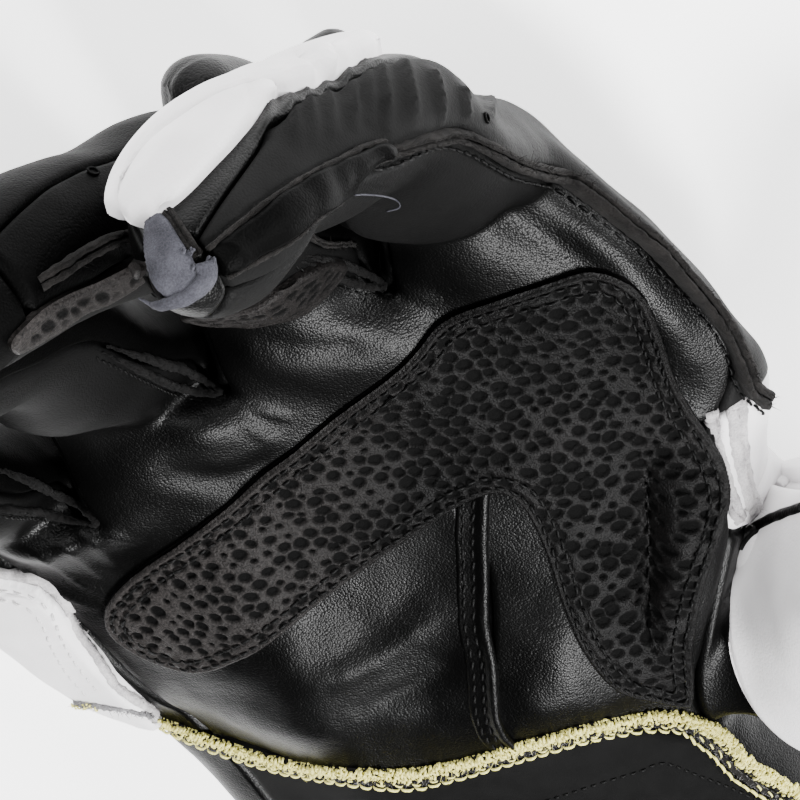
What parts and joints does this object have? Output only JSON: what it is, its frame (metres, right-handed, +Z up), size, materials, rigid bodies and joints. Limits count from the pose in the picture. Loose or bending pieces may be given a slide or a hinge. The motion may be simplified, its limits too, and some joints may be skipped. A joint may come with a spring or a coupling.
{
  "type": "motorcycle glove",
  "caption": "Right-hand leather motorcycle glove with a gauntlet cuff, a crackle grip patch and white guards, lying palm up with the fingers half closed.",
  "frame": {"origin": "centre of the bounding box's underside, where the back of the glove lies", "axes": "+Z up out of the palm, +Y from the cuff towards the fingertips, +X towards the thumb"},
  "size_m": [0.1586, 0.2228, 0.0919],
  "materials": {
    "black_leather": "semi-gloss smooth grain",
    "black_suede": "matte suede",
    "grip_leather": "embossed crackle",
    "white_leather": "smooth satin",
    "grey_suede": "suede",
    "yellow_thread": "spun thread"
  },
  "bodies": {
    "root": {"cuff_front": "black_suede", "cuff_thumb_side": "black_leather", "cuff_back": "black_leather", "cuff_little_side": "black_leather", "palm_panel": "black_leather", "thenar_panel": "black_leather", "back_panel": "black_leather", "little_side_panel": "black_leather", "thumb_web_panel": "white_leather", "index_side_panel": "black_leather", "fourchette_ring_little": "black_leather", "little_tip_cap": "black_leather", "fourchette_middle_ring": "black_leather", "ring_tip_cap": "black_leather", "fourchette_index_middle": "black_leather", "middle_tip_cap": "black_leather", "index_tip_cap": "grey_suede", "thumb_front_panel": "black_leather", "thumb_outer_panel": "black_leather", "thumb_inner_panel": "white_leather", "thumb_tip_cap": "black_leather", "little_back_panel": "black_leather", "ring_back_panel": "black_leather", "middle_back_panel": "black_leather", "index_back_panel": "black_leather", "palm_grip_patch": "grip_leather", "little_side_guard": "white_leather", "index_knuckle_guard": "white_leather", "index_tip_guard": "white_leather", "index_knuckle_pad": "black_leather", "middle_knuckle_guard": "black_leather", "thumb_guard_lower": "white_leather", "thumb_guard_upper": "white_leather", "middle_grip_patch": "grip_leather", "index_seam_welt": "black_suede", "middle_seam_welt": "black_suede", "crotch_welt_ring_little": "black_suede", "crotch_welt_middle_ring": "black_suede", "crotch_welt_index_middle": "black_suede", "palm_lap_edge": "black_leather", "wrist_overlock_edge": "yellow_thread", "cuff_binding": "black_suede"}
  },
  "joints": []
}
